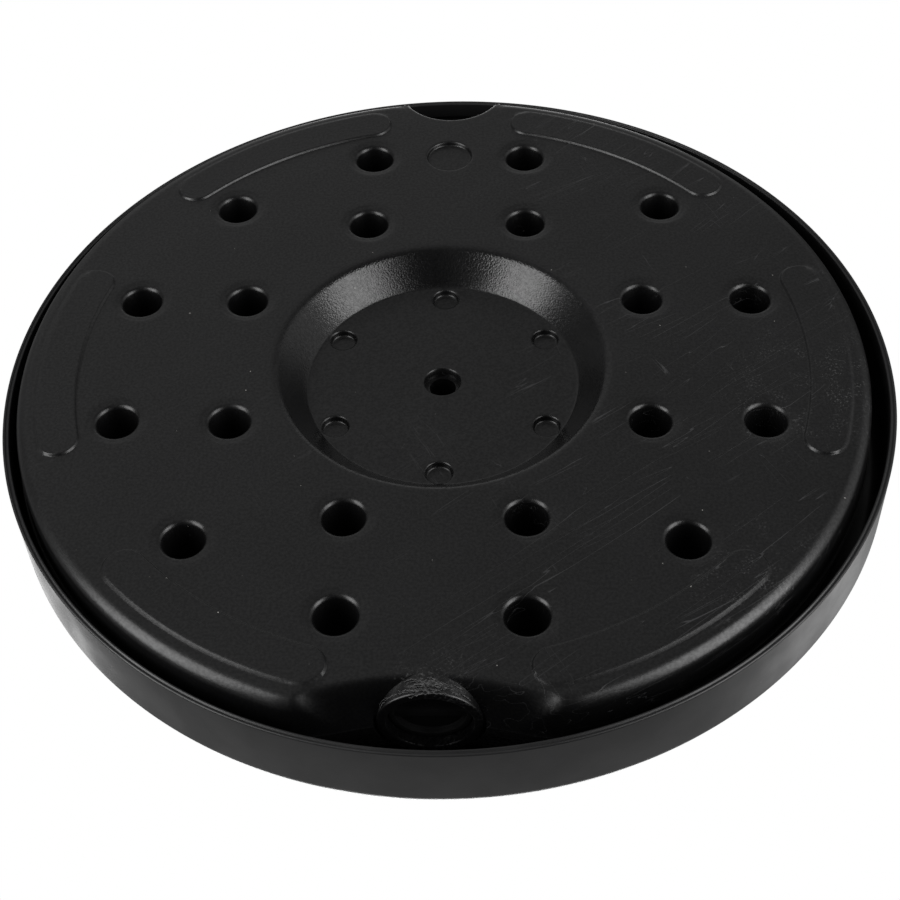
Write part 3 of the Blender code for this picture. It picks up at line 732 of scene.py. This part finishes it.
def make_tip():
    start, end = -TIP_HIGH.y, -TIP_LOW.y
    reach, soft = 4.8 * MM, 0.9 * MM
    profile = [(0.4 * MM, end), (2 * MM, end), (2 * MM, start + 3 * MM), (reach, start + 3 * MM)]
    profile += arc((reach - soft, start + soft), soft, 0, -90, 5) + [(0.4 * MM, start)]
    return outward(revolve("tip_skin", profile, 64, closed=False), CLAMP_Z)


def make_knob():
    """Five-lobed hand knob: hub, crowned head with soft lobes, and a dished cap in the middle."""
    start, end = -KNOB_HIGH.y, -KNOB_LOW.y
    reach, hub = 26 * MM, 11 * MM
    head = start + 6 * MM
    soft, bore, bore_end = 5 * MM, THREAD_BORE, start + KNOB_BORE_DEPTH
    profile = [(0.4 * MM, end - 1.6 * MM), (6.5 * MM, end - 1.6 * MM), (8 * MM, end - 1.1 * MM)]
    profile += [(8.8 * MM, end - 0.2 * MM), (10 * MM, end), (15 * MM, end - 0.2 * MM)]
    profile += arc((reach - soft, end - soft - 0.8 * MM), soft, 78, 0, 8)
    profile += arc((reach - 3 * MM, head + 3 * MM), 3 * MM, 0, -90, 6)
    profile += [(hub + 1 * MM, head), (hub, head - 0.8 * MM), (hub - 0.3 * MM, start + 0.5 * MM)]
    profile += [(hub - 0.9 * MM, start), (bore, start), (bore, bore_end), (0.4 * MM, bore_end)]

    def lobed(radius, height, angle):
        share = max(0.0, min(1.0, (radius - 12 * MM) / (9 * MM)))
        wave = 0.5 - 0.5 * math.cos(5 * (angle - math.pi / 2))
        return radius - 5.6 * MM * share * wave**1.5

    return outward(revolve("knob_skin", profile, 240, radius_at=lobed, closed=False), CLAMP_Z)


def make_plug():
    """Recessed fill plug: raised rim, dished face with a grip bar, ring groove."""
    face, back = -PLUG_LOW.y, -PLUG_HIGH.y
    reach, rim, dish, soft = 18.9 * MM, 3 * MM, 3 * MM, 0.6 * MM
    groove, low = face - 6 * MM, face - 9.6 * MM
    profile = [(0.4 * MM, face - dish), (reach - rim - 0.8 * MM, face - dish)]
    profile += [(reach - rim, face - dish + 0.8 * MM), (reach - rim + 0.3 * MM, face - 0.2 * MM)]
    profile += [(reach - rim + 0.8 * MM, face)] + arc((reach - soft, face - soft), soft, 90, 0, 4)
    profile += [(reach, groove), (15.6 * MM, groove), (15.6 * MM, low), (reach, low)]
    profile += [(reach, back + 1 * MM), (reach - 1 * MM, back), (0.4 * MM, back)]
    plug = revolve("plug_skin", profile, 128, closed=False)
    bar = block((0, 0, face - 2 * MM), (33.4 * MM, 4 * MM, 3.2 * MM))
    cut(plug, bar, "UNION")
    sharpen(plug, 30)
    return outward(plug, NECK_Z)


def make_seal():
    middle = -(RING_LOW.y + RING_HIGH.y) / 2
    minor = 1.3 * MM
    section = arc((18.7 * MM - minor, middle), minor, 90, -255, 23)
    return outward(revolve("seal_ring", section, 96), NECK_Z)


# ---- materials

RAMP_SOCKETS = ("From Min", "From Max", "To Min", "To Max")


class Shader:
    """A Principled material and short calls that add its procedural nodes."""

    def __init__(self, name, colour, roughness, metallic=0.0, **sockets):
        self.material = bpy.data.materials.new(name)
        self.material.use_nodes = True
        self.tree = self.material.node_tree
        self.shader = self.tree.nodes["Principled BSDF"]
        self.shader.inputs["Base Color"].default_value = (*colour, 1)
        self.shader.inputs["Roughness"].default_value = roughness
        self.shader.inputs["Metallic"].default_value = metallic
        for socket, value in sockets.items():
            self.shader.inputs[socket.replace("_", " ")].default_value = value
        self.place = self.tree.nodes.new("ShaderNodeTexCoord").outputs["Object"]
        self.last_bump = None

    def add(self, kind, **fields):
        item = self.tree.nodes.new(kind)
        for field, value in fields.items():
            setattr(item, field, value)
        return item

    def set(self, socket, value):
        if hasattr(value, "links"):
            self.tree.links.new(value, socket)
        else:
            socket.default_value = value

    def calc(self, operation, a, b=0.0):
        item = self.add("ShaderNodeMath", operation=operation)
        self.set(item.inputs[0], a)
        self.set(item.inputs[1], b)
        return item.outputs[0]

    def times(self, a, b):
        return self.calc("MULTIPLY", a, b)

    def plus(self, a, b):
        return self.calc("ADD", a, b)

    def most(self, a, b):
        return self.calc("MAXIMUM", a, b)

    def stretched(self, scale, turn_deg=0.0, offset=(0, 0, 0)):
        """The object's coordinates, turned about Z, scaled along each axis and shifted."""
        spin = self.add("ShaderNodeMapping")
        self.set(spin.inputs["Vector"], self.place)
        spin.inputs["Rotation"].default_value = (0, 0, math.radians(turn_deg))
        size = self.add("ShaderNodeMapping")
        self.set(size.inputs["Vector"], spin.outputs[0])
        size.inputs["Scale"].default_value = scale
        size.inputs["Location"].default_value = offset
        return size.outputs[0]

    def noise(self, scale, detail=2.0, vector=None, roughness=0.5):
        item = self.add("ShaderNodeTexNoise")
        self.set(item.inputs["Vector"], vector or self.place)
        item.inputs["Scale"].default_value = scale
        item.inputs["Detail"].default_value = detail
        item.inputs["Roughness"].default_value = roughness
        return item.outputs[0]

    def cells(self, scale, feature="F1", vector=None):
        item = self.add("ShaderNodeTexVoronoi", feature=feature)
        self.set(item.inputs["Vector"], vector or self.place)
        item.inputs["Scale"].default_value = scale
        return item

    def between(self, value, low, high, to_low=0.0, to_high=1.0):
        item = self.add("ShaderNodeMapRange", interpolation_type="SMOOTHSTEP")
        self.set(item.inputs["Value"], value)
        for socket, number in zip(RAMP_SOCKETS, (low, high, to_low, to_high)):
            item.inputs[socket].default_value = number
        return item.outputs[0]

    def mix_colour(self, share, first, second):
        item = self.add("ShaderNodeMix", data_type="RGBA")
        self.set(item.inputs[0], share)
        self.set(item.inputs[6], first if hasattr(first, "links") else (*first, 1))
        self.set(item.inputs[7], second if hasattr(second, "links") else (*second, 1))
        return item.outputs[2]

    def near(self, centre, reach, soft):
        """1 inside a ball and 0 outside it, with a soft edge."""
        item = self.add("ShaderNodeVectorMath", operation="DISTANCE")
        self.set(item.inputs[0], self.place)
        item.inputs[1].default_value = centre
        return self.between(item.outputs["Value"], reach + soft, reach - soft)

    def plan_radius(self, centre_x):
        split = self.add("ShaderNodeSeparateXYZ")
        self.set(split.inputs[0], self.place)
        x = self.calc("SUBTRACT", split.outputs["X"], centre_x)
        y = split.outputs["Y"]
        return self.calc("SQRT", self.plus(self.times(x, x), self.times(y, y)))

    def bump(self, height, distance, strength=1.0):
        item = self.add("ShaderNodeBump")
        item.inputs["Distance"].default_value = distance
        item.inputs["Strength"].default_value = strength
        self.set(item.inputs["Height"], height)
        if self.last_bump:
            self.set(item.inputs["Normal"], self.last_bump)
        self.last_bump = item.outputs[0]
        self.set(self.shader.inputs["Normal"], self.last_bump)

    def colour(self, value):
        self.set(self.shader.inputs["Base Color"], value)

    def roughness(self, value):
        self.set(self.shader.inputs["Roughness"], value)

    def scratches(self, turn_deg, length, gap, width, keep, patch_scale, seed):
        """Fine straight scratches: contour lines of a long stretched noise, broken into lengths."""
        long_cells = self.stretched((1 / length, 1 / gap, 1 / gap), turn_deg, (seed, seed, 0))
        lines = self.noise(1.0, 1.5, long_cells)
        off = self.calc("ABSOLUTE", self.calc("SUBTRACT", lines, 0.5))
        line = self.between(off, width, width * 0.3)
        patches = self.noise(patch_scale, 2, self.stretched((1, 1.7, 1), turn_deg, (seed * 2, 0, seed)))
        return self.times(line, self.between(patches, keep, keep + 0.06))

    def specks(self, scale, size, share, seed=0.0):
        """Scattered round specks: the middles of a few of a Voronoi pattern's cells."""
        dots = self.cells(scale, vector=self.stretched((1, 1, 1), 13 + seed, (seed, seed, seed)))
        few = self.between(self.channel(dots.outputs["Color"], 0), 1 - share, 1 - share + 0.01)
        spread = self.channel(dots.outputs["Color"], 1)
        reach = self.times(spread, size)
        close = self.calc("LESS_THAN", dots.outputs["Distance"], reach)
        return self.times(close, few)

    def channel(self, colour, index):
        split = self.add("ShaderNodeSeparateColor")
        self.set(split.inputs[0], colour)
        return split.outputs[index]


def tank_finish():
    """Black HDPE: satin with a fine dapple, long scratches, dust, scuffs, a grained recess wall, and painted
    shade turning the gloss down in the hollowed front and the neck's mouth.
    """
    m = Shader("tank_hdpe", (0.002, 0.002, 0.0021), 0.33, Specular_IOR_Level=0.5)
    side = m.add("ShaderNodeSeparateXYZ")
    m.set(side.inputs[0], m.place)
    worn_side = m.between(side.outputs["X"], 0.10, -0.12, 0.12, 1.0)
    radius = m.plan_radius(AXIS_X)
    wall = m.times(m.between(radius, 0.0690, 0.0715), m.between(radius, 0.0880, 0.0850))
    wear = m.scratches(38, 0.3, 0.009, 0.0034, 0.52, 14, 3.1)
    for turn, length, keep, seed in ((31, 0.2, 0.55, 5.7), (46, 0.16, 0.57, 9.2), (-61, 0.12, 0.6, 12.4)):
        wear = m.most(wear, m.scratches(turn, length, 0.007, 0.0032, keep, 18, seed))
    wear = m.times(m.times(wear, worn_side), m.calc("SUBTRACT", 1.0, wall))
    scuffs = m.near((-0.185, -0.02, 0), 0.035, 0.03)
    for centre, reach, soft in (((-0.15, -0.14, 0), 0.025, 0.03), ((0.0, -0.197, 0), 0.016, 0.012)):
        scuffs = m.most(scuffs, m.near(centre, reach, soft))
    grit = m.between(m.noise(900, 4), 0.52, 0.72)
    scuffs = m.times(scuffs, m.times(grit, m.between(m.noise(90, 3), 0.45, 0.62)))
    dust = m.most(m.specks(210, 0.12, 0.012, 1.0), m.specks(420, 0.16, 0.010, 4.0))

    haze = m.between(m.noise(14, 4), 0.3, 0.7)
    tone = m.mix_colour(haze, (0.0016, 0.0016, 0.0017), (0.0026, 0.0026, 0.0028))
    tone = m.mix_colour(m.times(wear, 0.38), tone, (0.08, 0.08, 0.082))
    tone = m.mix_colour(m.times(scuffs, 0.5), tone, (0.12, 0.12, 0.12))
    tone = m.mix_colour(m.times(dust, 0.8), tone, (0.34, 0.33, 0.31))
    m.colour(tone)
    rough = m.plus(0.31, m.times(haze, 0.05))
    rough = m.plus(rough, m.times(wear, 0.10))
    rough = m.calc("SUBTRACT", rough, m.times(wall, 0.10))
    m.roughness(rough)
    m.bump(m.noise(1100, 3), 0.00003, 0.5)
    m.bump(m.noise(1.0, 3, m.stretched((120, 1300, 1300), 35)), 0.00001, 0.5)
    m.bump(m.times(wear, -1.0), 0.00003, 0.5)
    grain = m.cells(1300, "SMOOTH_F1")
    m.bump(m.times(grain.outputs["Distance"], wall), 0.00013, 0.8)
    dapple = m.between(m.noise(700, 4), 0.3, 0.7, 0.41, 0.59)

    # Painted shade: the gloss is turned down in the hollowed front, and again in the upper part of the
    # neck's mouth, where these lie in shade.
    painted_shade = 0.0
    for forward, upward, share in (((-0.188, -0.196), (0.004, 0.012), 0.25),
                                   ((-0.176, -0.186), (0.024, 0.034), 0.2)):
        within = m.times(m.between(side.outputs["Y"], *forward), m.between(side.outputs["Z"], *upward))
        painted_shade = m.plus(painted_shade, m.times(within, share))
    m.set(m.shader.inputs["Specular IOR Level"], m.calc("SUBTRACT", dapple, painted_shade))
    return m.material


def coat_finish():
    """Black powder coat on steel: fine orange peel and a little dust."""
    m = Shader("coated_steel", (0.010, 0.010, 0.0103), 0.4, Specular_IOR_Level=0.5)
    dust = m.specks(260, 0.12, 0.02, 2.0)
    haze = m.between(m.noise(9, 3), 0.3, 0.7)
    tone = m.mix_colour(haze, (0.009, 0.009, 0.0093), (0.012, 0.012, 0.0123))
    tone = m.mix_colour(m.times(dust, 0.6), tone, (0.2, 0.2, 0.19))
    m.colour(tone)
    m.roughness(m.plus(0.36, m.times(m.between(m.noise(40, 4), 0.3, 0.7), 0.1)))
    m.bump(m.noise(900, 2), 0.00005, 0.55)
    m.bump(m.noise(230, 2), 0.00006, 0.35)
    return m.material


def moulding_finish(name, tone, grain, specular=0.3):
    """Moulded plastic with a spark-eroded grain."""
    m = Shader(name, tone, 0.45, Specular_IOR_Level=specular)
    haze = m.between(m.noise(22, 3), 0.3, 0.7)
    m.colour(m.mix_colour(haze, tuple(0.85 * c for c in tone), tuple(1.15 * c for c in tone)))
    m.roughness(m.plus(0.42, m.times(haze, 0.08)))
    m.bump(m.noise(grain, 3), 0.00006, 0.6)
    return m.material


def zinc_finish():
    m = Shader("zinc_plate", (0.56, 0.57, 0.6), 0.3, 1.0)
    cloud = m.between(m.noise(160, 3), 0.35, 0.65)
    m.colour(m.mix_colour(cloud, (0.46, 0.47, 0.5), (0.62, 0.62, 0.62)))
    m.roughness(m.plus(0.24, m.times(cloud, 0.14)))
    m.bump(m.noise(1500, 2), 0.00002, 0.5)
    return m.material


def scrap_finish():
    m = Shader("torn_hdpe", (0.2, 0.2, 0.2), 0.5)
    torn = m.between(m.noise(700, 3), 0.35, 0.65)
    m.colour(m.mix_colour(torn, (0.01, 0.01, 0.01), (0.085, 0.085, 0.085)))
    m.roughness(m.plus(0.4, m.times(torn, 0.3)))
    m.bump(m.noise(2500, 2), 0.00005, 0.6)
    return m.material


def brass_finish():
    m = Shader("brass", (0.7, 0.52, 0.22), 0.3, 1.0)
    m.roughness(m.plus(0.25, m.times(m.noise(200, 3), 0.15)))
    m.bump(m.noise(900, 2), 0.00003, 0.5)
    return m.material


def concrete_finish():
    m = Shader("concrete", (0.4, 0.39, 0.37), 0.9)
    m.colour(m.mix_colour(m.noise(120, 6), (0.3, 0.29, 0.27), (0.5, 0.49, 0.46)))
    m.bump(m.noise(300, 5), 0.0004, 0.8)
    return m.material


# ---- pieces

def paint(item, material):
    item.data.materials.clear()
    item.data.materials.append(material)


def dress(item, material, body, slot, *nodes):
    """Give a visible piece its material, the CAD nodes it replaces and the body it rides; the slot argument
    is not used.
    """
    paint(item, material)
    if nodes:
        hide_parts(*nodes)
    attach(item, body)


def build():
    rng = np.random.default_rng(SEED)
    hdpe, coat = tank_finish(), coat_finish()
    black = (0.006, 0.006, 0.0062)
    moulding = moulding_finish("black_moulding", black, 1100)
    # Painted shade: the fill plug's moulding has its gloss turned down, as it sits deep in the neck's dark
    # mouth.
    plug_painted_shade = moulding_finish("painted_shade_moulding", black, 1100, specular=0.1)
    nylon = moulding_finish("nylon", (0.62, 0.6, 0.54), 900)
    rubber = moulding_finish("seal_rubber", (0.012, 0.012, 0.012), 700)
    zinc, brass, concrete = zinc_finish(), brass_finish(), concrete_finish()

    dress(make_tank(), hdpe, "root", "tank_hdpe", "ballast_tank")
    dress(make_neck(), hdpe, "root", "tank_hdpe")
    dress(make_scraps(rng), scrap_finish(), "root", "tank_hdpe")
    dress(make_cover(), coat, "root", "coated_steel", "cover_shell")
    dress(make_flange(), coat, "root", "coated_steel", "tube_flange")
    dress(make_weld(rng), coat, "root", "coated_steel")
    dress(make_tube(), coat, "root", "coated_steel", "pole_tube")
    dress(make_nut(), coat, "root", "coated_steel", "clamp_nut")
    for number in range(1, 7):
        for kind, make in (("screw", make_screw), ("washer", make_washer)):
            node = f"flange_{kind}_{number}"
            low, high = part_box(node)
            piece = make(number, plan_centre(low, high), low.z, high.z)
            dress(piece, zinc, "root", "zinc_plate", node)
        paint(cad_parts[f"threaded_insert_{number}"], brass)
    paint(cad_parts["ballast_fill"], concrete)
    dress(make_sleeve(), moulding, "sleeve", "black_moulding", "pole_adapter")
    dress(make_tip(), nylon, "clamp_tip_body", "nylon", "clamp_tip")
    dress(make_stud(), zinc, "clamp_screw", "zinc_plate", "clamp_stud")
    dress(make_knob(), moulding, "clamp_screw", "black_moulding", "clamp_knob")
    dress(make_plug(), plug_painted_shade, "plug", "black_moulding", "fill_plug")
    dress(make_seal(), rubber, "plug_ring", "seal_rubber", "plug_seal_ring")


# ---- studio

CAMERA_PLACE = Vector((-0.0370, -0.5950, -0.6065))
CAMERA_AIM = Vector((0.0414, 0.6589, 0.7511))
CAMERA_TOP = Vector((-0.0023, 0.7518, -0.6593))
CAMERA_LENS = 66.69
FLOOR_REACH = 20


def look(place, aim, top):
    """A matrix that looks along aim with top upwards in the picture."""
    back = -aim.normalized()
    right = top.cross(back).normalized()
    up = back.cross(right)
    turn = Matrix((right, up, back)).transposed().to_4x4()
    return Matrix.Translation(place) @ turn


def make_camera():
    data = bpy.data.cameras.new("camera")
    data.lens = CAMERA_LENS
    data.sensor_width = 36
    data.clip_start, data.clip_end = 0.01, 50
    item = put("camera", data)
    item.matrix_world = look(CAMERA_PLACE, CAMERA_AIM, CAMERA_TOP)
    bpy.context.scene.camera = item


def make_floor():
    """Pale floor under the pads. Its lower side is clear, and it hides no light from below."""
    reach = FLOOR_REACH
    corners = [(-reach, -reach, 0), (reach, -reach, 0), (reach, reach, 0), (-reach, reach, 0)]
    item = mesh_object("floor", corners, [(0, 1, 2, 3)], smooth=False)
    material = bpy.data.materials.new("floor")
    material.use_nodes = True
    tree = material.node_tree
    tree.nodes.clear()
    new, link = tree.nodes.new, tree.links.new
    output, mix = new("ShaderNodeOutputMaterial"), new("ShaderNodeMixShader")
    top, clear = new("ShaderNodeBsdfDiffuse"), new("ShaderNodeBsdfTransparent")
    top.inputs["Color"].default_value = (0.82, 0.82, 0.82, 1)
    link(new("ShaderNodeNewGeometry").outputs["Backfacing"], mix.inputs[0])
    link(top.outputs[0], mix.inputs[1])
    link(clear.outputs[0], mix.inputs[2])
    link(mix.outputs[0], output.inputs[0])
    item.data.materials.append(material)
    item.visible_shadow = False
    item.visible_diffuse = False
    item.visible_glossy = False
    item.visible_transmission = False


def softbox(name, place, size, power):
    """A rectangular light aimed at the middle of the stand's underside."""
    data = bpy.data.lights.new(name, "AREA")
    data.shape = "RECTANGLE"
    data.size, data.size_y = size
    data.energy = power
    item = put(name, data)
    place = Vector(place)
    item.matrix_world = look(place, -place, Vector((0, 0, 1)))
    item.visible_camera = False


# Ramps over the direction, each (axis, from, to, level at from, level at to), that are added up.
WORLD_LEVELS = (
    ((0, 0.68, -0.73), 0.45, 0.95, 0.0, 0.22),
    ((0, 1, 0), 0.2, 0.8, 0.0, 0.06),
    ((0, 1, 0), 0.88, 0.99, 0.0, 0.32),
    ((0.9, 0, -0.44), 0.05, 0.65, 0.0, 0.14),
    ((-0.95, 0.1, -0.3), 0.72, 1.0, 0.0, 0.6),
    ((0, 0, 1), 0.2, 0.8, 0.0, 0.40),
)


def make_world():
    """White where the camera looks; for light, dark at the front, brighter behind, above and beside."""
    world = bpy.data.worlds.new("studio")
    bpy.context.scene.world = world
    world.use_nodes = True
    tree = world.node_tree
    new, link = tree.nodes.new, tree.links.new
    background, output = tree.nodes["Background"], tree.nodes["World Output"]
    seen, mix = new("ShaderNodeBackground"), new("ShaderNodeMixShader")
    seen.inputs["Strength"].default_value = 1.0
    for shade in (seen, background):
        shade.inputs["Color"].default_value = (1, 1, 1, 1)
    where = new("ShaderNodeTexCoord")
    total = None
    for axis, *levels in WORLD_LEVELS:
        along = new("ShaderNodeVectorMath")
        along.operation = "DOT_PRODUCT"
        along.inputs[1].default_value = axis
        link(where.outputs["Generated"], along.inputs[0])
        level = new("ShaderNodeMapRange")
        level.interpolation_type = "SMOOTHSTEP"
        for socket, value in zip(RAMP_SOCKETS, levels):
            level.inputs[socket].default_value = value
        link(along.outputs["Value"], level.inputs["Value"])
        if total is None:
            total = level.outputs[0]
            continue
        both = new("ShaderNodeMath")
        link(total, both.inputs[0])
        link(level.outputs[0], both.inputs[1])
        total = both.outputs[0]
    link(total, background.inputs["Strength"])
    link(new("ShaderNodeLightPath").outputs["Is Camera Ray"], mix.inputs[0])
    link(background.outputs[0], mix.inputs[1])
    link(seen.outputs[0], mix.inputs[2])
    link(mix.outputs[0], output.inputs[0])


def make_lights():
    """Two softboxes below the floor to the sides of the front, panels behind and beside, one overhead."""
    softbox("softbox_left", (1.12, -0.58, -0.66), (0.8, 1.3), 16.5)
    softbox("softbox_right", (-1.16, -0.54, -0.66), (0.9, 1.3), 16.5)
    softbox("back_panel", (0.0, 1.75, 0.6), (0.9, 0.8), 2.6)
    softbox("side_panel_right", (-1.4, 0.2, 1.2), (0.9, 0.9), 3.2)
    softbox("side_panel_left", (1.25, 0.65, 1.4), (0.7, 0.7), 3.5)
    softbox("top_key", (0.1, 0.4, 2.0), (1.0, 1.0), 16)


build()
make_camera()
make_floor()
make_world()
make_lights()
bpy.context.scene.view_settings.view_transform = "Standard"
